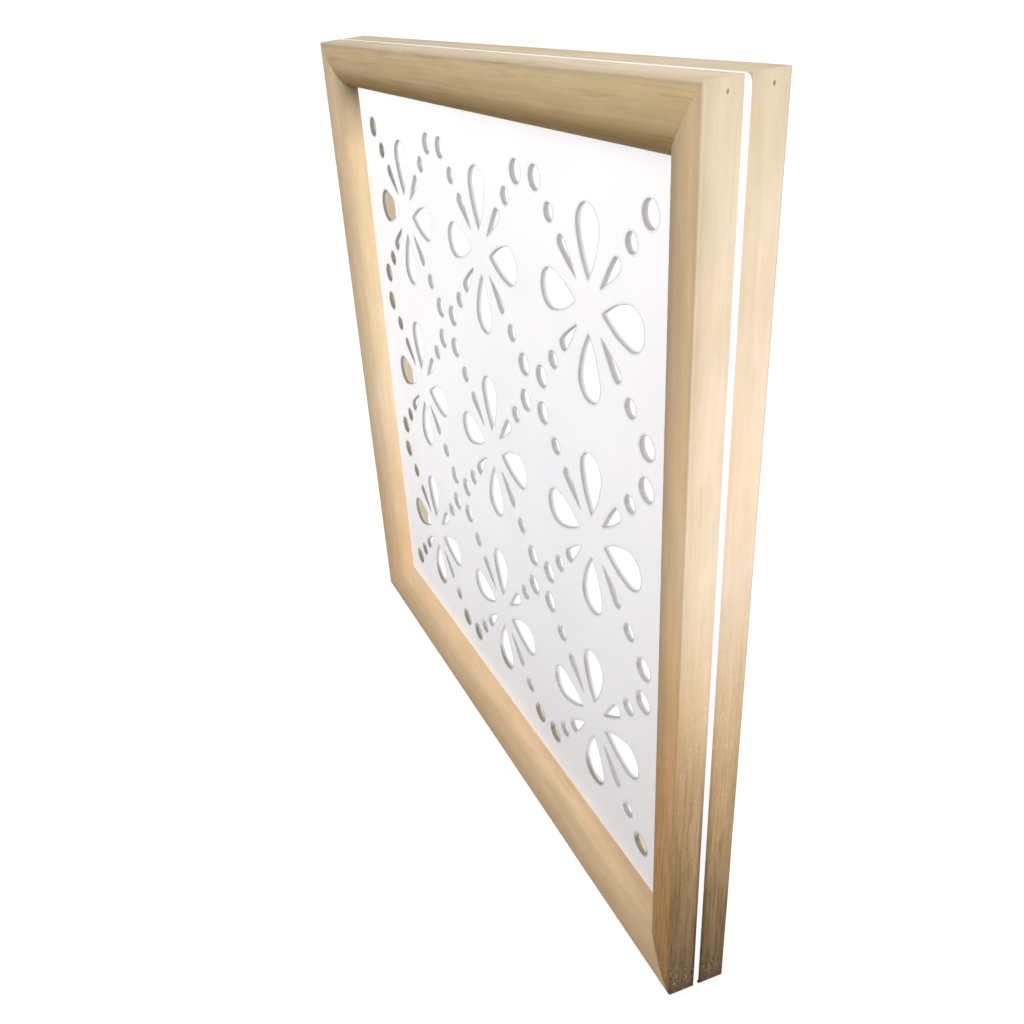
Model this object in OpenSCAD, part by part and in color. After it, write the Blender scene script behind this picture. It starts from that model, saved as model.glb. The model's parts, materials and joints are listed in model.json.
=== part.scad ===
// Square decorative screen panel.
// A mitred frame of rounded timber moulding in front and one of plain square
// timber behind clamp a thin sheet that is pierced with a three by three field of
// petal rosettes. The sheet runs out to the outer edge and shows there as a line
// between the frames.
// Millimetres. X is the width, Y the thickness (front face towards -Y), Z is up.
// The origin is at the middle of the bottom edge, half way through the thickness.

/* [Panel] */

// Outer width of the panel
panel_w = 600; // [590:1:680]

// Outer height of the panel
panel_h = 600; // [590:1:680]

/* [Moulding] */

// Width of the moulding, from the outer side face to the opening
mould_w = 38; // [34:0.5:42]

// Height of the moulding above the sheet at its crown
mould_t = 20; // [18:0.5:24]

// Radius of the long shallow arc across the front of the moulding
crown_r = 65; // [55:1:90]

// Width of the flat land along the outer edge of the moulding's front
crown_u = 5; // [3:0.5:10]

// Radius of the tighter arc that rolls over into the opening
roll_r = 14; // [10:0.5:16]

// Radius of the eased outer arris
arris_r = 1.5; // [1:0.5:4]

// Radius of the eased edge of the back timber at the opening
back_edge_r = 0.8; // [0.5:0.1:4]

/* [Sheet] */

// Thickness of the pierced sheet
sheet_t = 4; // [3:0.5:6]

// How far the edge of the sheet sits back from the side faces
sheet_inset = 0.2; // [0.1:0.1:2]

// Radius of the corners of the sheet
sheet_corner_r = 5; // [2:0.5:10]

/* [Pattern] */

// Distance from one rosette to the next
pitch = 162; // [150:1:165]

// Start of a broad petal, from the rosette centre, as a share of the pitch
broad_tip = 0.106; // [0.09:0.001:0.13]

// Centre of the round end of a broad petal, as a share of the pitch
broad_end = 0.302; // [0.28:0.001:0.31]

// Radius of the round end of a broad petal, as a share of the pitch
broad_r = 0.084; // [0.07:0.001:0.09]

// Radius of the bowed sides of a broad petal, as a share of the pitch
broad_side_r = 0.40; // [0.35:0.01:0.6]

// Start of a slim petal, from the rosette centre, as a share of the pitch
slim_tip = 0.133; // [0.12:0.001:0.15]

// Centre of the round end of a slim petal, as a share of the pitch
slim_end = 0.291; // [0.27:0.001:0.30]

// Radius of the round end of a slim petal, as a share of the pitch
slim_r = 0.028; // [0.02:0.001:0.035]

// Radius of the bowed sides of a slim petal, as a share of the pitch
slim_side_r = 0.80; // [0.7:0.01:1.2]

// Distance of the small dot from the rosette centre, as a share of the pitch
small_dot_d = 0.426; // [0.41:0.001:0.44]

// Radius of the small dot, as a share of the pitch
small_dot_r = 0.037; // [0.03:0.001:0.04]

// Distance of the large dot from the rosette centre, as a share of the pitch
large_dot_d = 0.586; // [0.57:0.001:0.60]

// Radius of the large dot, as a share of the pitch
large_dot_r = 0.049; // [0.04:0.001:0.055]

/* [Brads] */

// Length of a brad
brad_len = 32; // [25:1:36]

// Depth of the punched recess over a brad head
brad_sink = 1.2; // [0.8:0.1:2]

// Height of the upper brads below the top of the panel
brad_top = 6; // [5:0.5:12]

// Height of the lower brads above the bottom of the panel
brad_bottom = 14; // [8:0.5:18]

// Distance of the brads in the front frame from the middle of the thickness
brad_front_y = 10; // [8:0.5:14]

// Distance of the brads in the back frame from the middle of the thickness
brad_back_y = 13; // [8:0.5:14]

/* [Hidden] */

$fn = 96;
half_sheet = sheet_t / 2;
depth = sheet_t + 2 * mould_t;

// centre of the rolled inner arc, tangent inside the crown arc and upright at
// the opening
roll_u = mould_w - roll_r;
roll_v = mould_t - crown_r + sqrt(pow(crown_r - roll_r, 2) - pow(roll_u - crown_u, 2));

// shank and head of a brad
shank_w = 1.0;
shank_h = 1.25;
head_w = 1.2;
head_h = 2.2;
head_len = 1.0;
point_len = 2.5;

// ---------------------------------------------------------------- moulding

// Section of the moulding: u runs from the outer side face to the opening and
// v rises from the sheet. A narrow flat land follows the outer arris, then the
// long shallow arc, then the tighter arc that rolls over into the opening.
module mould_section() {
  difference() {
    intersection() {
      square([mould_w, mould_t]);
      union() {
        square([crown_u, mould_t]);
        translate([crown_u, mould_t - crown_r]) circle(r = crown_r);
      }
    }
    // everything outside the rolled inner arc
    difference() {
      roll_sector();
      translate([roll_u, roll_v]) circle(r = roll_r);
    }
    outside_arris();
  }
}

// Section of the timber behind the sheet: square, with both rear edges eased.
module back_section() {
  difference() {
    square([mould_w, mould_t]);
    outside_arris();
    difference() {
      translate([mould_w - back_edge_r, mould_t - back_edge_r])
        square([1 + back_edge_r, 1 + back_edge_r]);
      translate([mould_w - back_edge_r, mould_t - back_edge_r]) circle(r = back_edge_r);
    }
  }
}

// Everything outside the eased outer arris.
module outside_arris() {
  difference() {
    translate([-1, mould_t - arris_r]) square([1 + arris_r, 1 + arris_r]);
    translate([arris_r, mould_t - arris_r]) circle(r = arris_r);
  }
}

// Region seen from the roll centre between the tangent point and the opening.
module roll_sector() {
  du = roll_u - crown_u;
  dv = roll_v - (mould_t - crown_r);
  k = 60 / sqrt(du * du + dv * dv);
  polygon([[roll_u, roll_v],
           [mould_w + 60, roll_v],
           [mould_w + 60, roll_v + 60],
           [roll_u + du * k, roll_v + dv * k]]);
}

// One length of the section given as child, with both ends mitred. It lies along
// X with its outer side face on z = 0 and its flat side against the front face of
// the sheet.
module mitred_length(len) {
  intersection() {
    translate([0, -half_sheet, 0])
      rotate(a = 180, v = [1, 0, 1])
        linear_extrude(height = len, center = true)
          children();
    rotate([90, 0, 0])
      linear_extrude(height = 2 * depth, center = true)
        polygon([[-len / 2, 0], [len / 2, 0],
                 [len / 2 - mould_w, mould_w], [-len / 2 + mould_w, mould_w]]);
  }
}

module at_bottom() { children(); }
module at_top() { translate([0, 0, panel_h]) rotate([0, 180, 0]) children(); }
module at_left() { translate([-panel_w / 2, 0, panel_h / 2]) rotate([0, 90, 0]) children(); }
module at_right() { translate([panel_w / 2, 0, panel_h / 2]) rotate([0, -90, 0]) children(); }
module to_back() { mirror([0, 1, 0]) children(); }

// ------------------------------------------------------------------- brads

// Brad driven in from the left: it lies along +X with its head end at x = 0.
module brad() {
  translate([0, -head_w / 2, -head_h / 2])
    cube([head_len, head_w, head_h]);
  translate([0, shank_w / 2, 0])
    rotate([90, 0, 0])
      linear_extrude(height = shank_w)
        polygon([[head_len / 2, -shank_h / 2],
                 [brad_len - point_len, -shank_h / 2],
                 [brad_len, -0.15],
                 [brad_len, 0.15],
                 [brad_len - point_len, shank_h / 2],
                 [head_len / 2, shank_h / 2]]);
}

// The same brad with the punched recess above its head.
module brad_socket() {
  brad();
  translate([-brad_sink - 1, -head_w / 2, -head_h / 2])
    cube([brad_sink + 1 + head_len, head_w, head_h]);
}

// The four corner positions of one frame, at the distance y from mid thickness.
module at_corners(y) {
  for (z = [brad_bottom, panel_h - brad_top]) {
    translate([-panel_w / 2 + brad_sink, y, z]) children();
    mirror([1, 0, 0]) translate([-panel_w / 2 + brad_sink, y, z]) children();
  }
}

module front_sockets() { at_corners(-brad_front_y) brad_socket(); }
module back_sockets() { at_corners(brad_back_y) brad_socket(); }

// ------------------------------------------------------------ frame members

module front_top_rail() {
  color([0.80, 0.69, 0.53])
    difference() {
      at_top() mitred_length(panel_w) mould_section();
      front_sockets();
    }
}

module front_bottom_rail() {
  color([0.80, 0.69, 0.53])
    difference() {
      at_bottom() mitred_length(panel_w) mould_section();
      front_sockets();
    }
}

module front_left_stile() {
  color([0.84, 0.73, 0.57])
    difference() {
      at_left() mitred_length(panel_h) mould_section();
      front_sockets();
    }
}

module front_right_stile() {
  color([0.84, 0.73, 0.57])
    difference() {
      at_right() mitred_length(panel_h) mould_section();
      front_sockets();
    }
}

module back_top_rail() {
  color([0.80, 0.69, 0.53])
    difference() {
      to_back() at_top() mitred_length(panel_w) back_section();
      back_sockets();
    }
}

module back_bottom_rail() {
  color([0.80, 0.69, 0.53])
    difference() {
      to_back() at_bottom() mitred_length(panel_w) back_section();
      back_sockets();
    }
}

module back_left_stile() {
  color([0.84, 0.73, 0.57])
    difference() {
      to_back() at_left() mitred_length(panel_h) back_section();
      back_sockets();
    }
}

module back_right_stile() {
  color([0.84, 0.73, 0.57])
    difference() {
      to_back() at_right() mitred_length(panel_h) back_section();
      back_sockets();
    }
}

// -------------------------------------------------------------------- sheet

// Petal pointing along +x: two bowed sides that meet in a sharp tip at x = t
// and run into a round end of radius r centred at x = e. The round end is a
// hair larger than the circle that would only touch the sides, so the outlines
// cross cleanly.
module petal(t, e, r, side_r) {
  d = e - t;
  a = (d * d - r * r + 2 * side_r * r) / (2 * d);
  b = sqrt(side_r * side_r - a * a);
  sx = t + a;
  n = sqrt((e - sx) * (e - sx) + b * b);
  px = (e - sx) / n * 2 * r;
  py = b / n * 2 * r;
  intersection() {
    translate([sx, -b]) circle(r = side_r);
    translate([sx, b]) circle(r = side_r);
    polygon([[e, 0], [e + px, py], [t - r, 3 * r], [t - r, -3 * r], [e + px, -py]]);
  }
  translate([e, 0]) circle(r = r * 1.004);
}

// One rosette: four broad petals on the axes, four slim petals on the
// diagonals and two dots beyond each slim petal.
module rosette() {
  for (q = [0:3]) {
    rotate(90 * q)
      petal(broad_tip * pitch, broad_end * pitch, broad_r * pitch, broad_side_r * pitch);
    rotate(90 * q + 45) {
      petal(slim_tip * pitch, slim_end * pitch, slim_r * pitch, slim_side_r * pitch);
      translate([small_dot_d * pitch, 0]) circle(r = small_dot_r * pitch);
      translate([large_dot_d * pitch, 0]) circle(r = large_dot_r * pitch);
    }
  }
}

// Outline of the sheet with its rounded corners.
module sheet_outline() {
  w = panel_w - 2 * sheet_inset;
  h = panel_h - 2 * sheet_inset;
  c = sheet_corner_r;
  difference() {
    square([w, h], center = true);
    for (q = [[1, 1], [-1, 1], [-1, -1], [1, -1]])
      translate([q[0] * (w / 2 - c), q[1] * (h / 2 - c)])
        difference() {
          translate([q[0] * c, q[1] * c]) square(2 * c, center = true);
          circle(r = c);
        }
  }
}

module fretwork_sheet() {
  color([0.93, 0.93, 0.94])
    translate([0, half_sheet, panel_h / 2])
      rotate([90, 0, 0])
        linear_extrude(height = sheet_t)
          difference() {
            sheet_outline();
            for (i = [-1:1], j = [-1:1])
              translate([i * pitch, j * pitch]) rosette();
          }
}

// ------------------------------------------------------------------- brads

module front_corner_brads() {
  color([0.55, 0.55, 0.56])
    at_corners(-brad_front_y) brad();
}

module back_corner_brads() {
  color([0.55, 0.55, 0.56])
    at_corners(brad_back_y) brad();
}

front_top_rail();
front_bottom_rail();
front_left_stile();
front_right_stile();
back_top_rail();
back_bottom_rail();
back_left_stile();
back_right_stile();
fretwork_sheet();
front_corner_brads();
back_corner_brads();
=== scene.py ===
import json
import math

import bmesh
import bpy
import numpy as np
from mathutils import Matrix, Vector
from mathutils.geometry import delaunay_2d_cdt

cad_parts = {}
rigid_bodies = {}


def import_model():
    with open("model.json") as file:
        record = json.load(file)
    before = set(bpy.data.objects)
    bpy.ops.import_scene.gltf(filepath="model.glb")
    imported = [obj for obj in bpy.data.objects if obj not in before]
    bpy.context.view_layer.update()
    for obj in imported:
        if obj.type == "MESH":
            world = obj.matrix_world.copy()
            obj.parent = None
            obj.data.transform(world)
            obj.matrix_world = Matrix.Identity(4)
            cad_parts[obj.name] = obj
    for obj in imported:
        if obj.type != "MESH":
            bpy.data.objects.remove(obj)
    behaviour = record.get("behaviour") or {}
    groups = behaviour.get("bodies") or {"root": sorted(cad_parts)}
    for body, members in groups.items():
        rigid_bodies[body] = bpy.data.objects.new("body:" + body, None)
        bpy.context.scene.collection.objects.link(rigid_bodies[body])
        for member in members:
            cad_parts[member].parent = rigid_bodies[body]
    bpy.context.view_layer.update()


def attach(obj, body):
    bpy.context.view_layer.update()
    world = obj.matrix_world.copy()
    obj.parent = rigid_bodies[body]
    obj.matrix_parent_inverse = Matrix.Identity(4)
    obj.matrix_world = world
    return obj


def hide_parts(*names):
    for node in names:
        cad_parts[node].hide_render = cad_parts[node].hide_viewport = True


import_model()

MM = 0.001
scene = bpy.context.scene

# ------------------------------------------------------------------ sizes, mm
PANEL = 600.0          # outer side of the square panel
MOULD_W = 38.0         # moulding, outer side face to opening
MOULD_T = 20.0         # moulding, sheet to crown
LAND = 5.0             # flat land along the outer edge of the moulding's front
CROWN_R = 65.0         # shallow arc across the front
ROLL_R = 14.0          # arc that rolls over into the opening
BACK_EDGE_R = 0.8      # eased edge of the back timber at the opening
ARRIS_R = 1.5          # eased outer arris
EASE = 0.16            # small easing where the moulding meets the sheet
MITRE_GROOVE = 0.07    # depth of the fine line at a mitre
SHEET_T = 4.0
SHEET_INSET = 0.2
SHEET_CORNER = 5.0
RIM = 0.6              # eased rim of a cut hole
RING = 1.6             # width of the faintly shaded ring round a hole
PITCH = 162.0
ROLL_U = MOULD_W - ROLL_R
ROLL_V = MOULD_T - CROWN_R + math.sqrt((CROWN_R - ROLL_R) ** 2 - (ROLL_U - LAND) ** 2)
BRAD_LEN, BRAD_SINK = 32.0, 1.2
HEAD_W, HEAD_H, HEAD_LEN = 1.2, 2.2, 1.0
SHANK_W, SHANK_H, POINT = 1.0, 1.25, 2.5
BRAD_Z = (14.0, PANEL - 6.0)
BRAD_Y = {"front": -10.0, "back": 13.0}


# --------------------------------------------------------------- light, metres
FLOOR_GLOW = 0.90
# brightness of the dome by the height of the direction looked in, -1 straight down to 1 straight up
DOME = [(-0.10, 0.12), (-0.03, 1.02), (0.60, 1.02), (0.9, 0.80)]
DOME_DIM = 0.75        # how much of it is missing high up on the right
# name: place, aim, power, cone and blend of the spot, radius, colour
SPOTS = {
    "key_right": ((1.90, -0.75, 0.60), (0.28, 0.0, 0.445), 164.0, 22.7, 0.825, 0.155, (1.0, 0.99, 0.97)),
    "key_left": ((1.96, -0.24, 1.08), (0.10, 0.0, 0.42), 190.0, 27.0, 0.85, 0.22, (1.0, 0.99, 0.97)),
    "top_front": ((0.50, -1.55, 2.05), (0.0, 0.0, 0.50), 105.0, 50.0, 1.0, 0.35, (1.0, 0.995, 0.985)),
    "sheet_front": ((0.30, -1.70, 1.05), (0.0, 0.0, 0.58), 88.0, 50.0, 1.0, 0.25, (1.0, 1.0, 1.0)),
    "sheet_left": ((-0.40, -1.60, 0.24), (-0.40, 0.0, 0.24), 18.0, 35.0, 1.0, 0.10, (1.0, 1.0, 1.0)),
    "sheet_top": ((-4.00, -0.55, 0.63), (0.0, 0.0, 0.61), 165.0, 4.2, 1.0, 0.02, (1.0, 1.0, 1.0)),
    "sheet_edge": ((1.90, 0.03, 1.20), (0.3, 0.0, 0.35), 85.0, 60.0, 0.6, 0.02, (1.0, 1.0, 1.0)),
    "back": ((-1.20, 2.00, 0.50), (0.0, 0.0, 0.30), 150.0, 45.0, 1.0, 0.35, (1.0, 1.0, 0.99)),
    "inner_back": ((1.60, 0.35, 1.00), (-0.20, 0.01, 0.25), 50.0, 60.0, 0.8, 0.15, (1.0, 1.0, 1.0)),
    "sheet_low": ((0.60, 0.03, -1.40), (0.0, 0.0, 0.35), 110.0, 60.0, 0.6, 0.02, (1.0, 1.0, 1.0)),
}


def smooth_noise(x, seed, scale):
    """A smooth seeded curve of about -1 to 1, the sum of a few sines."""
    rng = np.random.RandomState(seed)
    out = np.zeros_like(np.asarray(x, float))
    for k in range(4):
        out = out + np.sin(np.asarray(x) / scale * (0.6 + 0.9 * k) + rng.uniform(0, 6.28)) / (1.4 + k)
    return out / 1.6


def new_object(name, mesh):
    ob = bpy.data.objects.new(name, mesh)
    scene.collection.objects.link(ob)
    return ob


# --------------------------------------------------------------------- timber
def section(arris, square):
    """The timber's outline as (u, v, nu, nv), in mm, from the edge at the opening over the face to the outer side
    face and back along the sheet. (nu, nv) is the outward normal. square is for the plain timber of the back."""
    pts = []

    def arc(cu, cv, r, a0, a1, n, last=True):
        for k in range(n + (1 if last else 0)):
            a = math.radians(a0 + (a1 - a0) * k / n)
            pts.append((cu + r * math.cos(a), cv + r * math.sin(a), math.cos(a), math.sin(a)))

    a_t = math.degrees(math.atan2(ROLL_V - (MOULD_T - CROWN_R), ROLL_U - LAND))
    arc(MOULD_W - EASE, EASE, EASE, -90, 0, 4)
    if square:
        pts.append((MOULD_W, 5.0, 1.0, 0.0))
        pts.append((MOULD_W, 12.0, 1.0, 0.0))
        arc(MOULD_W - BACK_EDGE_R, MOULD_T - BACK_EDGE_R, BACK_EDGE_R, 0, 90, 10)
        pts.append((26.0, MOULD_T, 0.0, 1.0))
        pts.append((14.0, MOULD_T, 0.0, 1.0))
    else:
        arc(ROLL_U, ROLL_V, ROLL_R, 0, a_t, 22, last=False)
        arc(LAND, MOULD_T - CROWN_R, CROWN_R, a_t, 90, 12)
        pts.append(((LAND + arris) / 2, MOULD_T, 0.0, 1.0))
    arc(arris, MOULD_T - arris, arris, 90, 180, 10)
    pts.append((0.0, 12.0, -1.0, 0.0))
    pts.append((0.0, 5.0, -1.0, 0.0))
    arc(EASE, EASE, EASE, 180, 270, 4)
    pts.append((12.0, 0.0, 0.0, -1.0))
    pts.append((26.0, 0.0, 0.0, -1.0))
    return pts


def oval(w, h, n=20):
    """An oval of width w and height h as (y, z)."""
    return [(w / 2 * math.cos(2 * math.pi * k / n), h / 2 * math.sin(2 * math.pi * k / n)) for k in range(n)]


def brad_cutter(name, sign, x0, y, z):
    """The space of a brad's head and of the punched recess over it, in world millimetres scaled to metres."""
    bm = bmesh.new()
    rows = []
    for px, f in ((-BRAD_SINK - 1.0, 1.12), (-BRAD_SINK, 1.12), (-BRAD_SINK + 0.35, 1.0), (HEAD_LEN, 1.0)):
        rows.append([bm.verts.new(Vector((x0 - sign * px, y + a * f, z + b * f)) * MM)
                     for a, b in oval(HEAD_W, HEAD_H)])
    for r0, r1 in zip(rows, rows[1:]):
        for k in range(len(r0)):
            m = (k + 1) % len(r0)
            bm.faces.new((r0[k], r0[m], r1[m], r1[k]))
    bm.faces.new(rows[0][::-1])
    bm.faces.new(rows[-1])
    bmesh.ops.recalc_face_normals(bm, faces=bm.faces)
    me = bpy.data.meshes.new(name)
    bm.to_mesh(me)
    bm.free()
    return new_object(name, me)


def moulding(name, place, seed, cutters, square):
    """One mitred length of timber. Its own X runs along it, Y is u and Z is v; place puts it in the row frame."""
    n_len = 46
    base = section(ARRIS_R, square)
    n_sec = len(base)
    half = PANEL / 2
    bm = bmesh.new()
    uv = bm.loops.layers.uv.new("OFBake")
    t = np.linspace(-1, 1, n_len + 1)
    arris = ARRIS_R + 0.28 * smooth_noise(t * half, seed, 45.0)
    rings = []
    run = [0.0]
    for k in range(1, n_sec + 1):
        a, b = base[k - 1], base[k % n_sec]
        run.append(run[-1] + math.hypot(a[0] - b[0], a[1] - b[1]))
    total = run[-1]

    def ring(fraction, r_arris, inset, end):
        out = []
        for u, v, nu, nv in section(r_arris, square):
            u2, v2 = u - nu * inset, v - nv * inset
            reach = half - u2 if end else half - u - MITRE_GROOVE * 1.4
            out.append(bm.verts.new((fraction * reach * MM, u2 * MM, v2 * MM)))
        return out

    rings.append(ring(-1.0, arris[0], MITRE_GROOVE, True))
    for k in range(n_len + 1):
        rings.append(ring(t[k], arris[k], 0.0, False))
    rings.append(ring(1.0, arris[-1], MITRE_GROOVE, True))
    for i in range(len(rings) - 1):
        a, b = rings[i], rings[i + 1]
        for k in range(n_sec):
            m = (k + 1) % n_sec
            f = bm.faces.new((a[k], a[m], b[m], b[k]))
            for loop, (s, q) in zip(f.loops, ((i, k), (i, k + 1), (i + 1, k + 1), (i + 1, k))):
                x = rings[s][q % n_sec].co.x / (2 * half * MM) + 0.5
                loop[uv].uv = (0.01 + 0.98 * x, 0.01 + 0.86 * run[q] / total)
    for i, (ring_, flip) in enumerate(((rings[0], True), (rings[-1], False))):
        f = bm.faces.new(ring_[::-1] if flip else ring_)
        for loop in f.loops:
            loop[uv].uv = (0.02 + 0.1 * i + loop.vert.co.y / MM * 0.0022, 0.89 + loop.vert.co.z / MM * 0.004)
    bmesh.ops.recalc_face_normals(bm, faces=bm.faces)
    me = bpy.data.meshes.new(name)
    bm.to_mesh(me)
    bm.free()
    ob = new_object(name, me)
    ob.matrix_world = place
    bpy.context.view_layer.update()
    for c in cutters:
        mod = ob.modifiers.new("socket", "BOOLEAN")
        mod.operation = "DIFFERENCE"
        mod.solver = "EXACT"
        mod.object = c
    dg = bpy.context.evaluated_depsgraph_get()
    done = bpy.data.meshes.new_from_object(ob.evaluated_get(dg), preserve_all_data_layers=True, depsgraph=dg)
    ob.modifiers.clear()
    ob.data = done
    done.name = name
    bm = bmesh.new()
    bm.from_mesh(done)
    bmesh.ops.remove_doubles(bm, verts=bm.verts, dist=1e-6)
    bmesh.ops.dissolve_degenerate(bm, edges=bm.edges, dist=1e-7)
    big = [f for f in bm.faces if len(f.verts) > 4]
    bmesh.ops.triangulate(bm, faces=big)
    for f in bm.faces:
        f.smooth = True
    for e in bm.edges:
        e.smooth = len(e.link_faces) == 2 and e.calc_face_angle(0.0) < math.radians(32)
    bm.to_mesh(done)
    bm.free()
    w = ob.modifiers.new("normals", "WEIGHTED_NORMAL")
    w.keep_sharp = True
    w.weight = 60
    return ob


def axes(x, y, z, at):
    """A placing matrix from where its own X, Y and Z point and where its origin is, in mm."""
    m = Matrix.Identity(4)
    for i, a in enumerate((x, y, z)):
        for r in range(3):
            m[r][i] = a[r]
    for r in range(3):
        m[r][3] = at[r] * MM
    return m


H = PANEL / 2
F, B = (0, -1, 0), (0, 1, 0)
yf, yb = -SHEET_T / 2, SHEET_T / 2
PLACES = {
    "front_bottom_rail": axes((1, 0, 0), (0, 0, 1), F, (0, yf, 0)),
    "front_top_rail": axes((-1, 0, 0), (0, 0, -1), F, (0, yf, PANEL)),
    "front_left_stile": axes((0, 0, -1), (1, 0, 0), F, (-H, yf, H)),
    "front_right_stile": axes((0, 0, 1), (-1, 0, 0), F, (H, yf, H)),
    "back_bottom_rail": axes((-1, 0, 0), (0, 0, 1), B, (0, yb, 0)),
    "back_top_rail": axes((1, 0, 0), (0, 0, -1), B, (0, yb, PANEL)),
    "back_left_stile": axes((0, 0, 1), (1, 0, 0), B, (-H, yb, H)),
    "back_right_stile": axes((0, 0, -1), (-1, 0, 0), B, (H, yb, H)),
}


# ------------------------------------------------------------------ materials
class Tree:
    """A small helper for building node trees."""

    def __init__(self, name):
        self.mat = bpy.data.materials.new(name)
        self.mat.use_nodes = True
        self.nt = self.mat.node_tree
        self.nt.nodes.clear()
        self.out = self.nt.nodes.new("ShaderNodeOutputMaterial")
        self.bsdf = self.nt.nodes.new("ShaderNodeBsdfPrincipled")
        self.nt.links.new(self.bsdf.outputs[0], self.out.inputs[0])

    def link(self, a, b):
        self.nt.links.new(a, b)

    def put(self, socket, value):
        if isinstance(value, bpy.types.NodeSocket):
            self.link(value, socket)
        elif isinstance(value, (int, float)):
            socket.default_value = value
        else:
            value = tuple(value)
            socket.default_value = value + (1.0,) if len(value) == 3 and socket.type == "RGBA" else value

    def coords(self, offset=(0, 0, 0)):
        """Object coordinates in millimetres, shifted by offset."""
        tc = self.nt.nodes.new("ShaderNodeTexCoord")
        mp = self.nt.nodes.new("ShaderNodeMapping")
        mp.inputs["Location"].default_value = offset
        mp.inputs["Scale"].default_value = (1000, 1000, 1000)
        self.link(tc.outputs["Object"], mp.inputs["Vector"])
        return mp.outputs[0]

    def scaled(self, vec, scale):
        n = self.nt.nodes.new("ShaderNodeVectorMath")
        n.operation = "MULTIPLY"
        self.link(vec, n.inputs[0])
        n.inputs[1].default_value = scale
        return n.outputs[0]

    def noise(self, vec, scale=(1, 1, 1), detail=2.0, rough=0.5, distortion=0.0):
        n = self.nt.nodes.new("ShaderNodeTexNoise")
        n.noise_dimensions = "3D"
        self.link(self.scaled(vec, scale), n.inputs["Vector"])
        n.inputs["Scale"].default_value = 1.0
        n.inputs["Detail"].default_value = detail
        n.inputs["Roughness"].default_value = rough
        n.inputs["Distortion"].default_value = distortion
        return n.outputs[0]

    def math(self, op, a, b=None, c=None, clamp=False):
        n = self.nt.nodes.new("ShaderNodeMath")
        n.operation = op
        n.use_clamp = clamp
        self.put(n.inputs[0], a)
        if b is not None:
            self.put(n.inputs[1], b)
        if c is not None:
            self.put(n.inputs[2], c)
        return n.outputs[0]

    def ramp(self, value, stops):
        """A map from value to a grey or colour through stops of (place, grey or colour)."""
        n = self.nt.nodes.new("ShaderNodeValToRGB")
        els = n.color_ramp.elements
        while len(els) > 1:
            els.remove(els[-1])
        for i, (p, c) in enumerate(stops):
            e = els[0] if i == 0 else els.new(p)
            e.position = p
            e.color = (c, c, c, 1) if isinstance(c, (int, float)) else tuple(c) + (1,)
        self.link(value, n.inputs[0])
        return n.outputs[0]

    def mix(self, fac, a, b, blend="MIX"):
        n = self.nt.nodes.new("ShaderNodeMix")
        n.data_type = "RGBA"
        n.blend_type = blend
        self.put(n.inputs[0], fac)
        self.put(n.inputs[6], a)
        self.put(n.inputs[7], b)
        return n.outputs[2]

    def bump(self, height, strength, distance, normal=None):
        n = self.nt.nodes.new("ShaderNodeBump")
        n.inputs["Strength"].default_value = strength
        n.inputs["Distance"].default_value = distance
        self.link(height, n.inputs["Height"])
        if normal is not None:
            self.link(normal, n.inputs["Normal"])
        return n.outputs[0]


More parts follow.
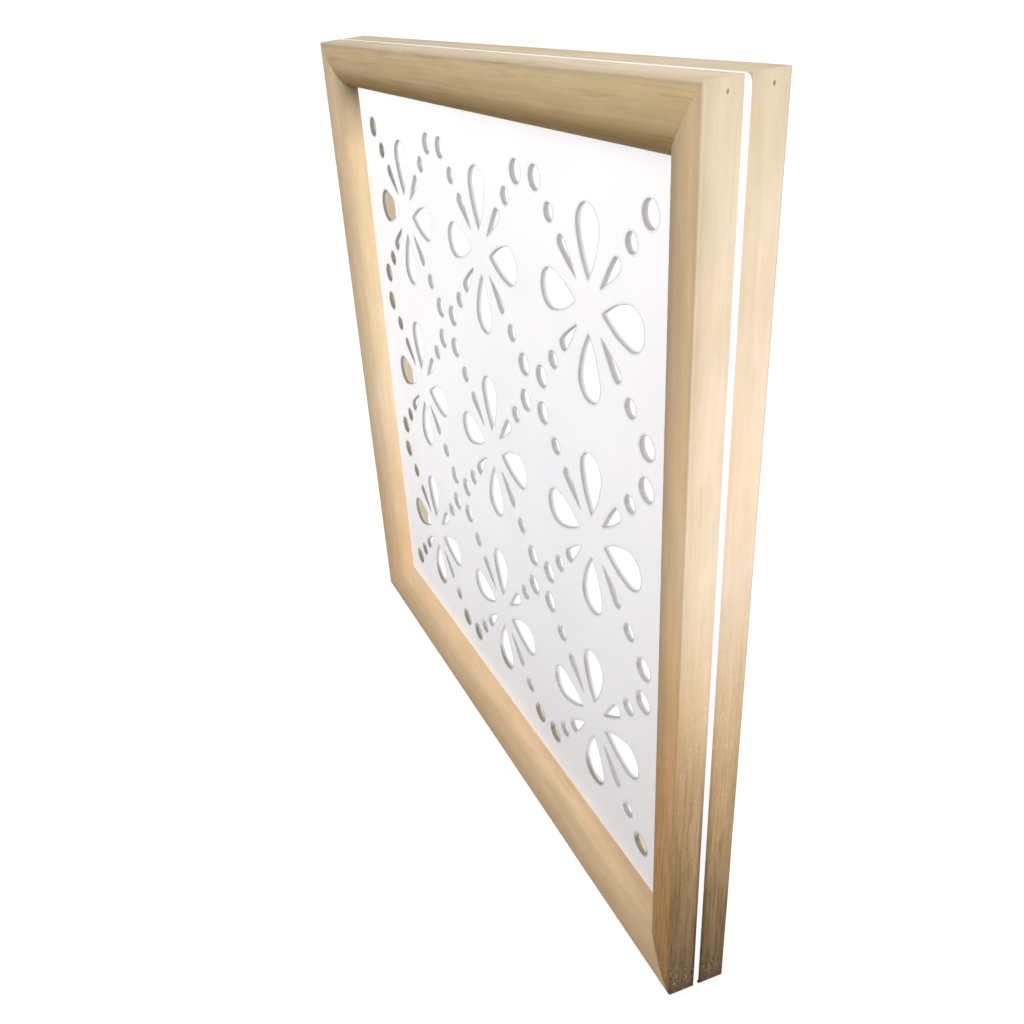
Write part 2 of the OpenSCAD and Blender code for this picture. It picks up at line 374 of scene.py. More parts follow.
def timber(name, seed, front, side, pith, spacing, along, lip, across, grain):
    """Bare sanded softwood. front and side are the mean colours of the rounded face and of the outer side face; the
    side colour is greyer than the front's, and on the right-hand stiles paler too, a painted sheen of a lit face. pith
    is the middle of the growth rings in the section (mm), spacing the distance from ring to ring (mm), along the change
    of colour along the piece as (place in mm, colour), on the right-hand stiles a painted fall of light and shade, lip
    the one towards the opening as (share of the width, colour), painted shade under the front top rail and painted
    light at the back pieces' inner edge, across the brightness over the side face from the sheet out, a painted shade
    towards its edges, and grain the strength of the grain along the piece (0 to 1)."""
    rng = np.random.RandomState(seed)
    t = Tree(name)
    o = t.coords()
    p = t.coords(tuple(rng.uniform(-400, 400, 3) * np.array([1, 0, 0])))
    q = t.coords(tuple(rng.uniform(-900, 900, 3)))
    at = t.nt.nodes.new("ShaderNodeSeparateXYZ")
    t.link(o, at.inputs[0])
    sep = t.nt.nodes.new("ShaderNodeSeparateXYZ")
    t.link(p, sep.inputs[0])
    place = t.math("MULTIPLY_ADD", at.outputs[0], 1.0 / PANEL, 0.5)
    # growth rings round the pith, wandering along the length
    wander = t.math("MULTIPLY", t.math("SUBTRACT", t.noise(q, (0.0035, 0.02, 0.02), 2, 0.45), 0.5), 16.0)
    ripple = t.math("MULTIPLY", t.math("SUBTRACT", t.noise(q, (0.022, 0.12, 0.12), 3, 0.5), 0.5), 2.4)
    dy = t.math("SUBTRACT", sep.outputs[1], pith[0])
    dz = t.math("SUBTRACT", sep.outputs[2], pith[1])
    r = t.math("SQRT", t.math("ADD", t.math("MULTIPLY", dy, dy), t.math("MULTIPLY", dz, dz)))
    r = t.math("ADD", t.math("ADD", r, wander), ripple)
    ring = t.math("FRACT", t.math("DIVIDE", r, spacing))
    late = t.ramp(ring, [(0.0, 0.25), (0.1, 0.0), (0.5, 0.12), (0.82, 0.55), (0.93, 1.0), (1.0, 0.3)])
    late = t.math("MULTIPLY", late, t.ramp(t.noise(q, (0.006, 0.05, 0.05), 2, 0.5), [(0.35, 0.15), (0.65, 1.0)]))
    # long fibres, fine streaks, blotches and short flecks
    fibre = t.noise(q, (0.012, 0.55, 0.55), 5, 0.62, 0.15)
    streak = t.noise(q, (0.006, 0.13, 0.13), 3, 0.5)
    hair = t.noise(q, (0.05, 2.6, 2.6), 3, 0.7)
    fleck = t.ramp(t.noise(q, (0.16, 2.2, 2.2), 2, 0.6), [(0.60, 0.0), (0.70, 1.0)])
    cloud = t.noise(q, (0.010, 0.035, 0.035), 3, 0.5)
    blotch = t.noise(q, (0.021, 0.10, 0.10), 3, 0.55, 0.3)
    line = t.ramp(t.noise(q, (0.007, 0.75, 0.75), 2, 0.45, 0.1), [(0.66, 0.0), (0.74, 1.0)])
    bold = grain is BOLD
    if bold:
        line = t.math("MAXIMUM", line, t.ramp(t.noise(q, (0.011, 0.34, 0.34), 2, 0.5, 0.4), [(0.60, 0.0), (0.68, 1.0)]))
    strength = t.ramp(place, [(x / PANEL + 0.5, g) for x, g in grain])
    power = t.math("MULTIPLY", strength, 1.5)
    tone = t.math("ADD", t.math("MULTIPLY", t.math("SUBTRACT", fibre, 0.5), 1.3),
                  t.math("MULTIPLY", t.math("SUBTRACT", streak, 0.5), 0.9))
    tone = t.math("ADD", tone, t.math("MULTIPLY", t.math("SUBTRACT", late, 0.2), 0.34))
    tone = t.math("ADD", t.math("MULTIPLY", tone, power), 0.5, clamp=True)
    # across: the side face is painted darker towards its edges, as painted shade
    flat = t.ramp(t.math("DIVIDE", at.outputs[2], MOULD_T), [(v, (g, g ** 1.15, g ** 1.4)) for v, g in across])
    base = t.mix(1.0, flat, side, "MULTIPLY")
    face = front
    # on the right-hand stiles the rounded face is painted lighter towards the foot than the side face: part of the
    # painted fall of light
    if name.endswith("right_stile"):
        face = t.mix(1.0, t.ramp(strength, [(0.45, 1.0), (0.62, 0.93), (0.85, 1.12), (1.0, 1.17)]), front, "MULTIPLY")
    # the side colour runs into the front colour over the arris; its greyer, paler tone is a painted sheen of the lit
    # side face
    base = t.mix(t.ramp(t.math("DIVIDE", at.outputs[1], 8.0), [(0.03, 0.0), (0.55, 1.0)]), base, face)
    col = t.mix(1.0, base, t.mix(tone, (1.10, 1.13, 1.18), (0.90, 0.87, 0.82)), "MULTIPLY")
    col = t.mix(1.0, col, t.ramp(place, [(x / PANEL + 0.5, c) for x, c in along]), "MULTIPLY")
    # painted shade under the front top rail's lip and painted light at the back pieces' inner edge
    towards = t.ramp(t.math("DIVIDE", at.outputs[1], MOULD_W), lip)
    col = t.mix(1.0, col, towards, "MULTIPLY")
    col = t.mix(t.ramp(cloud, [(0.40, 0.0), (0.66, 0.8)]), col, t.mix(1.0, col, (1.0, 0.965, 0.90), "MULTIPLY"))
    col = t.mix(t.ramp(blotch, [(0.40, 0.0), (0.60, 1.0)]), col, t.mix(1.0, col, (0.925, 0.935, 0.90), "MULTIPLY"))
    col = t.mix(t.math("MULTIPLY", line, 0.46 if bold else 0.32), col, t.mix(1.0, col, (0.74, 0.68, 0.58), "MULTIPLY"))
    col = t.mix(t.math("MULTIPLY", fleck, 0.14), col, t.mix(1.0, col, (0.62, 0.50, 0.36), "MULTIPLY"))
    col = t.mix(t.ramp(hair, [(0.3, 0.08), (0.55, 0.0)]), col, t.mix(1.0, col, (0.80, 0.72, 0.60), "MULTIPLY"))
    # the foot is soiled in dark specks and scuffed in pale ones
    soil = t.noise(q, (0.028, 0.62, 0.62), 4, 0.62)
    low = t.ramp(strength, [(0.66, 0.0), (1.0, 1.0)])
    col = t.mix(t.math("MULTIPLY", low, t.ramp(soil, [(0.47, 0.0), (0.64, 0.85)])), col,
                t.mix(1.0, col, (0.60, 0.55, 0.47), "MULTIPLY"))
    scuff = t.ramp(t.noise(q, (0.42, 1.1, 1.1), 2, 0.55), [(0.60, 0.0), (0.68, 1.0)])
    scuff = t.math("MULTIPLY", t.ramp(strength, [(0.46, 0.0), (0.66, 1.0)]), scuff)
    if name.endswith("right_stile"):
        col = t.mix(scuff, col, t.mix(1.0, col, (1.26, 1.28, 1.30), "MULTIPLY"))
    if name.endswith("front_left_stile"):
        # painted shadow in the upper corner, on the inner part where the stile runs in under the top rail
        corner = t.math("MULTIPLY", t.ramp(place, [(0.07, 1.0), (0.10, 0.55), (0.15, 0.0)]),
                        t.ramp(t.math("DIVIDE", at.outputs[1], MOULD_W), [(0.52, 0.0), (0.74, 0.45), (0.90, 1.0)]))
        col = t.mix(corner, col, t.mix(1.0, col, (0.50, 0.50, 0.48), "MULTIPLY"))
    if name.endswith("front_right_stile"):
        # painted shade on the roll towards the opening, near the foot
        inner = t.math("MULTIPLY", low, t.ramp(t.math("DIVIDE", at.outputs[1], MOULD_W), [(0.62, 0.0), (0.92, 1.0)]))
        col = t.mix(inner, col, t.mix(1.0, col, (0.80, 0.85, 0.98), "MULTIPLY"))
    if name.endswith("right_stile"):
        # chipped and sandy just over the end
        foot = place if "front" in name else t.math("SUBTRACT", 1.0, place)
        end = t.ramp(foot, [(0.0, 0.35), (0.018, 1.0), (0.036, 0.9), (0.062, 0.0)])
        chips = t.noise(q, (0.34, 0.62, 0.62), 2, 0.5)
        col = t.mix(t.math("MULTIPLY", end, t.ramp(chips, [(0.65, 0.0), (0.69, 0.95)])), col, (0.78, 0.72, 0.54))
        col = t.mix(t.math("MULTIPLY", end, t.ramp(chips, [(0.34, 0.85), (0.46, 0.0)])), col,
                    t.mix(1.0, col, (0.38, 0.38, 0.36), "MULTIPLY"))
    # darker near the foot along the side face's edge at the sheet, as painted shade in the joint, and on a back piece
    # along its back edge
    rear = 0.85 if "back" in name else 0.0
    fringe = t.ramp(t.math("DIVIDE", at.outputs[2], MOULD_T), [(0.0, 0.85), (0.05, 0.6), (0.14, 0.0), (0.90, 0.0), (1.0, rear)])
    col = t.mix(t.math("MULTIPLY", low, fringe), col, t.mix(1.0, col, (0.36, 0.35, 0.33), "MULTIPLY"))
    t.link(col, t.bsdf.inputs["Base Color"])
    rough = t.math("ADD", t.math("MULTIPLY", fibre, 0.22), 0.50)
    rough = t.math("SUBTRACT", rough, t.math("MULTIPLY", late, 0.07))
    t.link(rough, t.bsdf.inputs["Roughness"])
    t.bsdf.inputs["Specular IOR Level"].default_value = 0.25
    height = t.math("ADD", t.math("MULTIPLY", fibre, 0.55), t.math("MULTIPLY", hair, 0.35))
    height = t.math("SUBTRACT", t.math("ADD", height, t.math("MULTIPLY", late, 0.18)), t.math("MULTIPLY", fleck, 0.35))
    t.link(t.bump(t.math("MULTIPLY", height, power), 0.26, 0.00030), t.bsdf.inputs["Normal"])
    return t.mat


def white_board(name):
    """Matt white sheet with a very fine tooth and faint mottling."""
    t = Tree(name)
    p = t.coords((31, 7, 55))
    mottle = t.noise(p, (0.012, 0.012, 0.012), 3, 0.5)
    fine = t.noise(p, (1.7, 1.7, 1.7), 3, 0.6)
    tooth = t.noise(p, (0.55, 0.55, 0.55), 4, 0.55)
    col = t.mix(t.ramp(mottle, [(0.35, 0.0), (0.65, 1.0)]), (0.885, 0.868, 0.888), (0.915, 0.897, 0.912))
    col = t.mix(t.ramp(fine, [(0.62, 0.0), (0.74, 0.25)]), col, (0.86, 0.845, 0.86))
    # painted shade on the walls and rims of the holes, and a painted brown reflection of the timber in the holes next
    # to the frame
    for name_, tint in (("painted_hole_shade", (0.224, 0.209, 0.222)), ("painted_wood_reflection", (0.21, 0.187, 0.145))):
        shade = t.nt.nodes.new("ShaderNodeAttribute")
        shade.attribute_name = name_
        col = t.mix(shade.outputs["Fac"], col, tint)
    t.link(col, t.bsdf.inputs["Base Color"])
    t.link(t.math("ADD", t.math("MULTIPLY", tooth, 0.16), 0.42), t.bsdf.inputs["Roughness"])
    t.bsdf.inputs["Specular IOR Level"].default_value = 0.4
    h = t.math("ADD", t.math("MULTIPLY", tooth, 0.7), t.math("MULTIPLY", fine, 0.3))
    t.link(t.bump(h, 0.12, 0.0002), t.bsdf.inputs["Normal"])
    return t.mat


def dull_steel(name):
    """Punched brad head: grey steel with drawn lines and some tarnish."""
    t = Tree(name)
    p = t.coords((3, 9, 1))
    tarnish = t.noise(p, (1.2, 1.2, 1.2), 4, 0.6)
    drawn = t.noise(p, (0.4, 9.0, 9.0), 2, 0.5)
    col = t.mix(t.ramp(tarnish, [(0.4, 0.0), (0.65, 1.0)]), (0.20, 0.19, 0.18), (0.08, 0.065, 0.05))
    t.link(col, t.bsdf.inputs["Base Color"])
    t.bsdf.inputs["Metallic"].default_value = 1.0
    t.link(t.math("ADD", t.math("MULTIPLY", tarnish, 0.3), 0.32), t.bsdf.inputs["Roughness"])
    t.link(t.bump(drawn, 0.3, 0.0001), t.bsdf.inputs["Normal"])
    return t.mat


# --------------------------------------------------------- build the mouldings
CUTTERS = {}
for half_name, y in BRAD_Y.items():
    for side, sign in (("left", -1), ("right", 1)):
        for level, z in (("bottom", BRAD_Z[0]), ("top", BRAD_Z[1])):
            CUTTERS[half_name, side, level] = brad_cutter(
                f"cut_{half_name}_{side}_{level}", sign, sign * (H - BRAD_SINK), y, z)

EVEN = [(-300, (1.0, 1.0, 1.0)), (300, (1.0, 1.0, 1.0))]
# painted fall of light on the right-hand stiles: lighter than the wood at mid height, and browner and darker towards
# the foot as painted shade; height in mm
FOOT_PAINTED_FALLOFF = [(0, (0.46, 0.41, 0.36)), (12, (0.76, 0.62, 0.47)), (43, (0.88, 0.70, 0.51)), (94, (0.96, 0.77, 0.53)), (141, (1.01, 0.82, 0.60)),
        (184, (1.01, 0.84, 0.65)), (264, (1.16, 1.04, 0.92)), (334, (1.12, 1.13, 1.17)), (398, (1.12, 1.11, 1.13)),
        (504, (1.03, 1.04, 1.05)), (600, (1.06, 1.09, 1.11))]
FOOT_BACK_PAINTED_FALLOFF = [(0, (0.42, 0.38, 0.34)), (12, (0.74, 0.61, 0.47)), (43, (0.84, 0.68, 0.50)), (94, (0.92, 0.74, 0.51)), (141, (1.10, 0.90, 0.655)),
             (184, (1.06, 0.87, 0.68)), (264, (1.05, 0.95, 0.85)), (334, (1.14, 1.12, 1.16)), (398, (1.20, 1.13, 1.14)),
             (504, (1.11, 1.10, 1.11)), (600, (1.06, 1.09, 1.11))]
FOOT_GRAIN = [(0, 1.0), (90, 1.0), (180, 0.85), (260, 0.62), (340, 0.42), (450, 0.32), (600, 0.26)]
LEFT = [(0, (1.0, 0.90, 0.86)), (80, (1.02, 0.93, 0.90)), (140, (1.0, 0.95, 0.93)), (250, (1.07, 1.09, 1.14)),
        (410, (1.0, 0.99, 0.99)), (600, (1.0, 1.0, 1.0))]
PLAIN = [(0.0, (1.0, 1.0, 1.0)), (1.0, (1.0, 1.0, 1.0))]
# painted shade on the roll of the front top rail that faces down into the opening
UNDER_PAINTED_SHADE = [(0.56, (1.0, 1.0, 1.0)), (0.70, (0.80, 0.72, 0.62)), (0.76, (0.73, 0.64, 0.52)), (0.83, (0.76, 0.64, 0.505)),
         (0.905, (0.82, 0.72, 0.48)), (0.96, (0.74, 0.66, 0.45))]
# painted light, brighter and bluer, on the inner edge of the back pieces where it shows through the holes
INNER_PAINTED_LIGHT = [(0.95, (1.0, 1.0, 1.0)), (0.985, (1.20, 1.34, 1.58))]
GRAIN = [(-300, 0.45), (300, 0.45)]
BOLD = [(-300, 0.62), (300, 0.62)]
SOFT = [(-300, 0.30), (300, 0.30)]
# painted shade over the side face of a front moulding: darker towards the arris and a little at the sheet
OUT_PAINTED_SHADE = [(0.0, 0.97), (0.12, 1.0), (0.48, 1.0), (0.78, 0.93), (1.0, 0.80)]       # side of a front moulding, sheet to arris
# painted shade over the side face of a back moulding: darker at the sheet and a little at the back edge
OUT_BACK_PAINTED_SHADE = [(0.0, 0.90), (0.10, 0.94), (0.45, 1.0), (1.0, 0.98)]
LOOKS = {
    # name: seed, rounded face, side face, pith, ring spacing, change along, change at the lip, side shade, grain
    "front_top_rail": (11, (0.585, 0.440, 0.252), (0.515, 0.420, 0.300), (70, -60), 4.2,
                       EVEN, UNDER_PAINTED_SHADE, OUT_PAINTED_SHADE, BOLD),
    "front_bottom_rail": (12, (0.590, 0.420, 0.262), (0.50, 0.37, 0.24), (-60, -46), 3.8, EVEN, PLAIN, OUT_PAINTED_SHADE, GRAIN),
    "front_left_stile": (13, (0.605, 0.460, 0.302), (0.53, 0.41, 0.28), (84, -30), 3.6,
                         [(H - z, c) for z, c in LEFT][::-1], PLAIN, OUT_PAINTED_SHADE, SOFT),
    "front_right_stile": (14, (0.600, 0.430, 0.260), (0.570, 0.465, 0.350), (96, 26), 3.4,
                          [(z - H, c) for z, c in FOOT_PAINTED_FALLOFF], PLAIN, OUT_PAINTED_SHADE, [(z - H, g) for z, g in FOOT_GRAIN]),
    "back_top_rail": (15, (0.560, 0.420, 0.250), (0.480, 0.390, 0.270), (60, 60), 3.9, EVEN, INNER_PAINTED_LIGHT, OUT_PAINTED_SHADE, GRAIN),
    "back_bottom_rail": (16, (0.580, 0.415, 0.260), (0.50, 0.37, 0.24), (-70, 40), 3.7, EVEN, INNER_PAINTED_LIGHT, OUT_PAINTED_SHADE, GRAIN),
    "back_left_stile": (17, (0.600, 0.450, 0.290), (0.53, 0.41, 0.28), (80, 48), 3.8,
                        [(H - z, c) for z, c in LEFT][::-1], INNER_PAINTED_LIGHT, OUT_PAINTED_SHADE, GRAIN),
    "back_right_stile": (18, (0.590, 0.425, 0.260), (0.570, 0.465, 0.352), (90, -20), 3.5,
                         [(H - z, c) for z, c in FOOT_BACK_PAINTED_FALLOFF][::-1], INNER_PAINTED_LIGHT, OUT_BACK_PAINTED_SHADE,
                         [(H - z, g) for z, g in FOOT_GRAIN][::-1]),
}

for node, place in PLACES.items():
    half_name, level, kind = node.split("_")
    if kind == "stile":
        cuts = [CUTTERS[half_name, level, "bottom"], CUTTERS[half_name, level, "top"]]
    else:
        cuts = []
    ob = moulding("timber_" + node, place, LOOKS[node][0], cuts, half_name == "back")
    ob.data.materials.clear()
    ob.data.materials.append(timber("timber_" + node, *LOOKS[node]))
    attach(ob, "root")
    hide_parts(node)

for c in CUTTERS.values():
    me = c.data
    bpy.data.objects.remove(c)
    bpy.data.meshes.remove(me)


# -------------------------------------------------------------- pierced sheet
def petal(t, e, r, side_r, n_side, n_end):
    """Outline of one petal along +x as (x, y, nx, ny): the normal points away from the hole."""
    d = e - t
    a = (d * d - r * r + 2 * side_r * r) / (2 * d)
    b = math.sqrt(side_r * side_r - a * a)
    sx = t + a
    up = math.atan2(b, e - sx)          # direction from the lower side centre to the tangent point
    tip = math.atan2(b, t - sx)         # direction from the lower side centre to the tip
    out = []
    for k in range(n_side):             # lower side, tip to round end, about the upper centre
        w = -(tip + (up - tip) * k / n_side)
        out.append((sx + side_r * math.cos(w), b + side_r * math.sin(w), math.cos(w), math.sin(w)))
    for k in range(n_end + 1):          # round end
        w = -up + 2 * up * k / n_end
        out.append((e + r * math.cos(w), r * math.sin(w), math.cos(w), math.sin(w)))
    for k in range(1, n_side + 1):      # upper side back to the tip
        w = up + (tip - up) * k / n_side
        out.append((sx + side_r * math.cos(w), -b + side_r * math.sin(w), math.cos(w), math.sin(w)))
    for k in range(1, 5):               # fan round the sharp tip
        w = tip + (2 * math.pi - 2 * tip) * k / 5
        out.append((t, 0.0, math.cos(w), math.sin(w)))
    return out


def dot(at, r, n):
    return [(at + r * math.cos(2 * math.pi * k / n), r * math.sin(2 * math.pi * k / n),
             math.cos(2 * math.pi * k / n), math.sin(2 * math.pi * k / n)) for k in range(n)]


def turned(outline, angle, ox, oz):
    c, s = math.cos(angle), math.sin(angle)
    return [(ox + x * c - y * s, oz + x * s + y * c, nx * c - ny * s, nx * s + ny * c) for x, y, nx, ny in outline]


def all_holes():
    P = PITCH
    broad = petal(0.106 * P, 0.302 * P, 0.084 * P, 0.40 * P, 12, 22)
    slim = petal(0.133 * P, 0.291 * P, 0.028 * P, 0.80 * P, 9, 14)
    small, large = dot(0.426 * P, 0.037 * P, 32), dot(0.586 * P, 0.049 * P, 36)
    holes = []
    for i in (-1, 0, 1):
        for j in (-1, 0, 1):
            ox, oz = i * P, j * P
            for q in range(4):
                a = q * math.pi / 2
                holes.append(turned(broad, a, ox, oz))
                for o in (slim, small, large):
                    holes.append(turned(o, a + math.pi / 4, ox, oz))
    return holes


def sheet_mesh(name):
    holes = all_holes()
    half = PANEL / 2 - SHEET_INSET
    c = SHEET_CORNER
    outer = []
    for sx, sz, a0 in ((1, 1, 0), (-1, 1, 90), (-1, -1, 180), (1, -1, 270)):
        for k in range(9):
            w = math.radians(a0 + 90 * k / 8)
            outer.append((sx * (half - c) + c * math.cos(w), sz * (half - c) + c * math.sin(w),
                          -math.cos(w), -math.sin(w)))
    # the outer edge runs clockwise, so that material lies on the same hand as at a hole
    outer = outer[::-1]
    loops = [(h, RIM, 3) for h in holes] + [(outer, 0.12, 2)]
    yh = SHEET_T / 2
    verts, faces = [], []
    painted_hole_shade, painted_wood_reflection = [], []
    flat2d, flat_front, flat_back, cdt_edges = [], [], [], []
    for outline, rim, steps in loops:
        n = len(outline)
        bend = [math.pi / 2 * k / steps for k in range(steps + 1)]
        rows = [(rim * (1 - math.sin(w)), -yh + rim * (1 - math.cos(w))) for w in bend]
        rows += [(rim * (1 - math.sin(w)), yh - rim * (1 - math.cos(w))) for w in bend[::-1]]
        shades = [0.0] * len(rows)
        if outline is not outer:
            rows = [(rim + RING, -yh)] + rows[:4] + [(0.0, -0.7), (0.0, 0.4)] + rows[4:] + [(rim + RING, yh)]
            wide = max(o[0] for o in outline) - min(o[0] for o in outline) + \
                max(o[1] for o in outline) - min(o[1] for o in outline)
            # painted shade down the wall of a hole: darkest at the front rim, paler deeper in, and darker throughout in
            # small holes
            if wide > 60.0:
                shades = [0.0, 0.24, 0.80, 1.0, 1.0, 0.90, 0.64, 0.36, 0.24, 0.16, 0.10, 0.0]
            else:
                shades = [0.0, 0.28, 0.80, 1.0, 1.0, 0.96, 0.86, 0.72, 0.55, 0.35, 0.20, 0.0]
        start = len(verts)
        for row, ((off, y), shade) in enumerate(zip(rows, shades)):
            for x, z, nx, nz in outline:
                verts.append((x + nx * off, y, z + nz * off))
                # a ring of painted shade on the face round each hole, darker on its right-hand side
                if row == 1 and outline is not outer:
                    shade = 0.24 + 0.26 * max(0.0, nx)
                # the left-hand holes get stronger painted shade, and those next to the left stile and the bottom rail
                # the painted brown reflection of the timber
                deep = min(1.0, max(0.0, (-150.0 - x) / 40.0))
                near = min(1.0, max(0.0, (-196.0 - x) / 14.0, (-212.0 - z) / 9.0))
                painted_hole_shade.append(shade * (0.84 + 0.16 * deep))
                painted_wood_reflection.append(shade * near)
        for a in range(len(rows) - 1):
            for k in range(n):
                m = (k + 1) % n
                faces.append((start + a * n + k, start + (a + 1) * n + k, start + (a + 1) * n + m, start + a * n + m))
        first = len(flat2d)
        for k in range(n):
            v = verts[start + k]
            flat2d.append((v[0], v[2]))
            flat_front.append(start + k)
            flat_back.append(start + (len(rows) - 1) * n + k)
            cdt_edges.append((first + k, first + (k + 1) % n))
    # a regular field of points between the holes keeps the flat faces evenly meshed
    centres = []
    for outline, rim, _ in loops[:-1]:
        o = np.array([(x + nx * (rim + RING), z + nz * (rim + RING)) for x, z, nx, nz in outline])
        centres.append(o)
    grid = np.arange(-half + 9, half - 8.9, (2 * half - 18) / 48)
    allpts = np.array(flat2d)
    extra = []
    for gx in grid:
        for gz in grid:
            d2 = ((allpts - (gx, gz)) ** 2).sum(1).min()
            if d2 < 4.0 ** 2:
                continue
            extra.append((gx, gz))

    def inside(poly, px, pz):
        x0, z0 = poly[:, 0], poly[:, 1]
        x1, z1 = np.roll(x0, -1), np.roll(z0, -1)
        crosses = (z0[None] > pz[:, None]) != (z1[None] > pz[:, None])
        with np.errstate(divide="ignore", invalid="ignore"):
            at = (x1 - x0)[None] * (pz[:, None] - z0[None]) / (z1 - z0)[None] + x0[None]
        return (np.where(crosses, px[:, None] < at, False).sum(1) % 2) == 1

    def in_holes(px, pz):
        hit = np.zeros(len(px), bool)
        for o in centres:
            lo, hi = o.min(0), o.max(0)
            m = (px > lo[0]) & (px < hi[0]) & (pz > lo[1]) & (pz < hi[1]) & ~hit
            if m.any():
                idx = np.where(m)[0]
                hit[idx] |= inside(o, px[idx], pz[idx])
        return hit

    ex = np.array(extra)
    ex = ex[~in_holes(ex[:, 0], ex[:, 1])]
    for gx, gz in ex:
        flat2d.append((float(gx), float(gz)))
        flat_front.append(len(verts))
        verts.append((float(gx), -yh, float(gz)))
        flat_back.append(len(verts))
        verts.append((float(gx), yh, float(gz)))
        painted_hole_shade += [0.0, 0.0]
        painted_wood_reflection += [0.0, 0.0]
    got = delaunay_2d_cdt([Vector(v) for v in flat2d], cdt_edges, [], 0, 1e-7)
    new_verts, _, tris, orig = got[0], got[1], got[2], got[3]
    ids = [o[0] if o else -1 for o in orig]
    tri = np.array([[ids[i] for i in f] for f in tris if len(f) == 3])
    tri = tri[(tri >= 0).all(1)]
    pts = np.array(flat2d)
    mid = pts[tri].mean(1)
    tri = tri[~in_holes(mid[:, 0], mid[:, 1])]
    a, b, cc = pts[tri[:, 0]], pts[tri[:, 1]], pts[tri[:, 2]]
    area = (b[:, 0] - a[:, 0]) * (cc[:, 1] - a[:, 1]) - (b[:, 1] - a[:, 1]) * (cc[:, 0] - a[:, 0])
    tri[area < 0] = tri[area < 0][:, ::-1]
    for f in tri:
        faces.append(tuple(flat_front[i] for i in f))
        faces.append(tuple(flat_back[i] for i in f[::-1]))
    me = bpy.data.meshes.new(name)
    me.from_pydata([(x * MM, y * MM, (z + PANEL / 2) * MM) for x, y, z in verts], [], faces)
    me.update()
    for key, values in (("painted_hole_shade", painted_hole_shade), ("painted_wood_reflection", painted_wood_reflection)):
        me.attributes.new(key, "FLOAT", "POINT").data.foreach_set("value", values)
    bm = bmesh.new()
    bm.from_mesh(me)
    bmesh.ops.remove_doubles(bm, verts=bm.verts, dist=2e-6)
    bmesh.ops.dissolve_degenerate(bm, edges=bm.edges, dist=1e-7)
    bmesh.ops.recalc_face_normals(bm, faces=bm.faces)
    for f in bm.faces:
        f.smooth = True
    for e in bm.edges:
        e.smooth = len(e.link_faces) == 2 and e.calc_face_angle(0.0) < math.radians(40)
    print("sheet: faces", len(bm.faces), "open edges", sum(len(e.link_faces) != 2 for e in bm.edges))
    bm.to_mesh(me)
    bm.free()
    return me


sheet = new_object("pierced_sheet", sheet_mesh("pierced_sheet"))
sheet.data.materials.append(white_board("white_board"))
w = sheet.modifiers.new("normals", "WEIGHTED_NORMAL")
w.keep_sharp = True
w.weight = 60
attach(sheet, "root")
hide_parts("fretwork_sheet")


# ---------------------------------------------------------------------- brads
def brad_mesh(name, half_name):
    bm = bmesh.new()

    y = BRAD_Y[half_name]
    for sign in (-1, 1):
        for z in BRAD_Z:
            x0 = sign * (H - BRAD_SINK)

            def place(p, s=sign, x0=x0, z=z):
                return Vector((x0 - s * p[0], y + p[1], z + p[2])) * MM

            rows = [[bm.verts.new(place((px, a * f, b * f))) for a, b in oval(HEAD_W - 0.04, HEAD_H - 0.04)]
                    for px, f in ((0.0, 0.72), (0.05, 0.90), (0.16, 1.0), (HEAD_LEN, 1.0))]
            for r0, r1 in zip(rows, rows[1:]):
                for k in range(len(r0)):
                    m = (k + 1) % len(r0)
                    bm.faces.new((r0[k], r0[m], r1[m], r1[k]))
            bm.faces.new(rows[0][::-1])
            bm.faces.new(rows[-1])
            body = [(HEAD_LEN * 0.8, SHANK_H / 2), (BRAD_LEN - POINT, SHANK_H / 2), (BRAD_LEN, 0.15)]
            rows = []
            for px, ph in body:
                rows.append([bm.verts.new(place((px, a * SHANK_W / 2, b * ph))) for a, b in ((-1, -1), (1, -1), (1, 1), (-1, 1))])
            for r0, r1 in zip(rows, rows[1:]):
                for k in range(4):
                    bm.faces.new((r0[k], r0[(k + 1) % 4], r1[(k + 1) % 4], r1[k]))
            bm.faces.new(rows[0][::-1])
            bm.faces.new(rows[-1])
    bmesh.ops.recalc_face_normals(bm, faces=bm.faces)
    for f in bm.faces:
        f.smooth = True
    for e in bm.edges:
        e.smooth = len(e.link_faces) == 2 and e.calc_face_angle(0.0) < math.radians(40)
    me = bpy.data.meshes.new(name)
    bm.to_mesh(me)
    bm.free()
    return me


steel = dull_steel("dull_steel")
for half_name in ("front", "back"):
    b = new_object("brads_" + half_name, brad_mesh("brads_" + half_name, half_name))
    b.data.materials.append(steel)
    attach(b, "root")
    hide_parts(half_name + "_corner_brads")


# ---------------------------------------------------------------------- stage
def floor_material():
    """Seamless white paper: bright by itself, so that only a faint shade is left where the panel stands."""
    t = Tree("pale_floor")
    p = t.coords()
    n = t.noise(p, (0.004, 0.004, 0.004), 3, 0.5)
    col = t.mix(t.ramp(n, [(0.3, 0.0), (0.7, 1.0)]), (0.20, 0.20, 0.20), (0.22, 0.22, 0.22))
    t.link(col, t.bsdf.inputs["Base Color"])
    t.bsdf.inputs["Roughness"].default_value = 0.9
    t.bsdf.inputs["Specular IOR Level"].default_value = 0.0
    t.bsdf.inputs["Emission Color"].default_value = (1.0, 1.0, 1.0, 1.0)
    t.bsdf.inputs["Emission Strength"].default_value = FLOOR_GLOW
    return t.mat


me = bpy.data.meshes.new("floor")
S = 60.0
me.from_pydata([(-S, -S, 0), (S, -S, 0), (S, S, 0), (-S, S, 0)], [], [(0, 1, 2, 3)])
floor = new_object("floor", me)
floor.location.z = -0.0002
me.materials.append(floor_material())
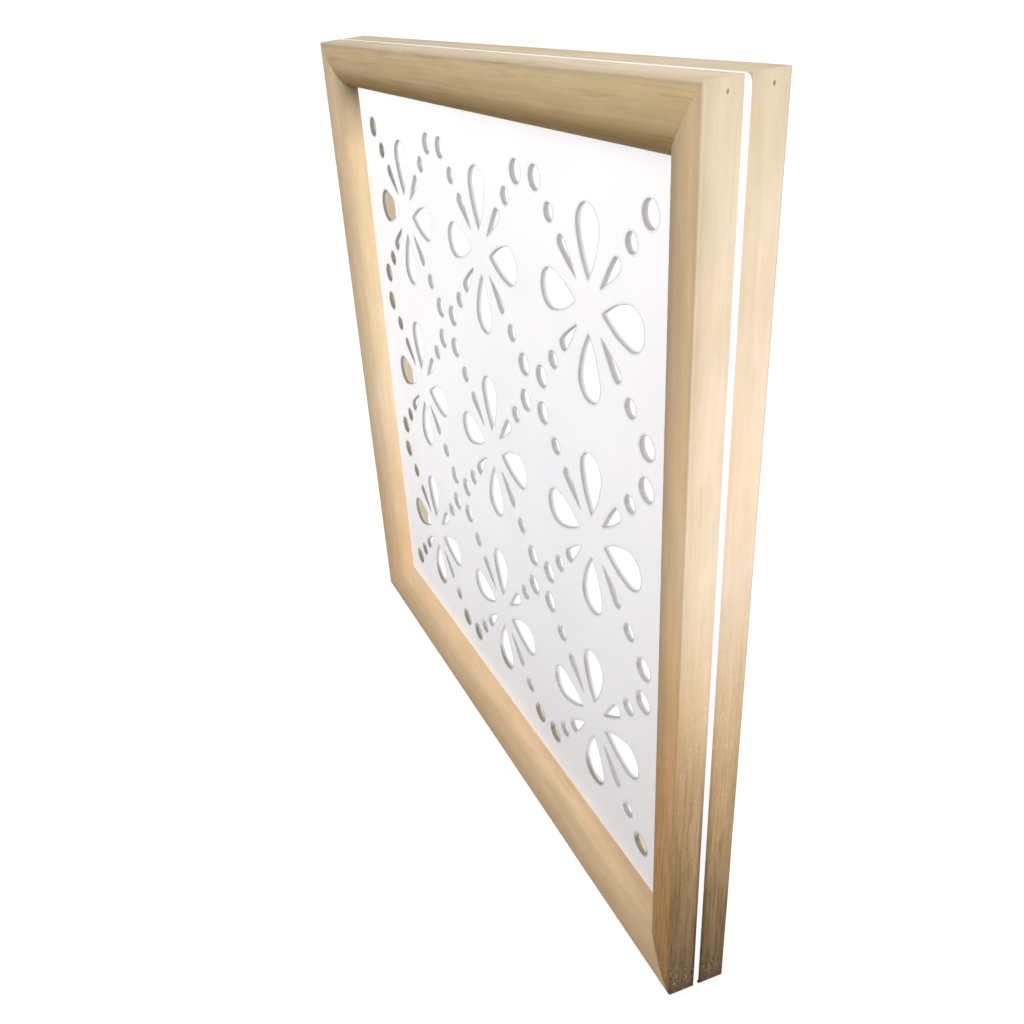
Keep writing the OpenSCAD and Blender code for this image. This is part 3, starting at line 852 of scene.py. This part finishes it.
# the paper is seen, but throws no light back up on the panel
floor.visible_diffuse = False
floor.visible_glossy = False
floor.visible_transmission = False
floor.visible_shadow = False

world = bpy.data.worlds.new("studio")
scene.world = world
world.use_nodes = True
wt = world.node_tree
bg = wt.nodes["Background"]
tc = wt.nodes.new("ShaderNodeTexCoord")
sep = wt.nodes.new("ShaderNodeSeparateXYZ")
wt.links.new(tc.outputs["Generated"], sep.inputs[0])


def world_map(axis, stops):
    """A grey that follows one part (0 to 2: X, Y, Z) of the direction looked in, through stops of (-1 to 1, grey)."""
    half = wt.nodes.new("ShaderNodeMath")
    half.operation = "MULTIPLY_ADD"
    half.inputs[1].default_value = 0.5
    half.inputs[2].default_value = 0.5
    wt.links.new(sep.outputs[axis], half.inputs[0])
    ramp = wt.nodes.new("ShaderNodeValToRGB")
    wt.links.new(half.outputs[0], ramp.inputs[0])
    els = ramp.color_ramp.elements
    while len(els) > 1:
        els.remove(els[-1])
    for i, (at, g) in enumerate(stops):
        e = els[0] if i == 0 else els.new((at + 1) / 2)
        e.position = (at + 1) / 2
        e.color = (g, g, g, 1.0)
    return ramp.outputs[0]


def world_math(op, a, b):
    n = wt.nodes.new("ShaderNodeMath")
    n.operation = op
    for i, v in enumerate((a, b)):
        if isinstance(v, (int, float)):
            n.inputs[i].default_value = v
        else:
            wt.links.new(v, n.inputs[i])
    return n.outputs[0]


gap = world_math("MULTIPLY", world_map(0, [(-0.1, 0.0), (0.8, DOME_DIM)]), world_map(2, [(0.2, 0.0), (0.36, 1.0)]))
glow = world_math("MULTIPLY", world_map(2, DOME), world_math("SUBTRACT", 1.0, gap))
# behind the panel the studio is plain white from every side
seen = wt.nodes.new("ShaderNodeLightPath").outputs["Is Camera Ray"]
wt.links.new(world_math("MAXIMUM", glow, world_math("MULTIPLY", seen, 1.02)), bg.inputs["Color"])
bg.inputs["Strength"].default_value = 1.0


def spot(name, lights_up, shadows=True):
    """A soft round light that only lights the objects named by lights_up."""
    at, aim, power, cone, blend, radius, colour = SPOTS[name]
    data = bpy.data.lights.new(name, "SPOT")
    data.energy = power
    data.color = colour
    data.spot_size = math.radians(cone)
    data.spot_blend = blend
    data.shadow_soft_size = radius
    data.use_shadow = shadows
    ob = bpy.data.objects.new(name, data)
    scene.collection.objects.link(ob)
    ob.location = at
    ob.rotation_euler = (Vector(aim) - Vector(at)).to_track_quat("-Z", "Y").to_euler()
    lit = bpy.data.collections.new("lit_by_" + name)
    for o in bpy.data.objects:
        if o.name.startswith(lights_up):
            lit.objects.link(o)
    ob.light_linking.receiver_collection = lit
    return ob


right_stiles = ("timber_front_right_stile", "timber_back_right_stile", "brads_")
others = tuple("timber_" + n for n in PLACES if not n.endswith("right_stile"))
spot("key_right", right_stiles)
spot("key_left", others)
spot("top_front", others)
spot("sheet_front", ("pierced_sheet",), shadows=False)
spot("sheet_left", ("pierced_sheet",), shadows=False)
spot("sheet_top", ("pierced_sheet",), shadows=False)
spot("sheet_edge", ("pierced_sheet",), shadows=False)
spot("sheet_low", ("pierced_sheet",), shadows=False)
spot("back", tuple("timber_" + n for n in PLACES if n.startswith("back")) + ("pierced_sheet",))
spot("inner_back", ("timber_back_left_stile", "timber_back_bottom_rail"))

# --------------------------------------------------------------------- camera
cam_data = bpy.data.cameras.new("camera")
cam = bpy.data.objects.new("camera", cam_data)
scene.collection.objects.link(cam)
cam_data.sensor_fit = "HORIZONTAL"
cam_data.sensor_width = 36.0
cam_data.lens = 34.9733
cam_data.shift_x = 0.13867
cam_data.clip_start = 0.02
cam_data.clip_end = 200.0
cam.location = (0.685653, -0.288320, 0.659776)
cam.rotation_euler = (1.0652739, 0.1200317, 1.2538505)
scene.camera = cam

scene.view_settings.view_transform = "Standard"
scene.view_settings.look = "None"
scene.view_settings.exposure = 0.0
scene.view_settings.gamma = 1.0
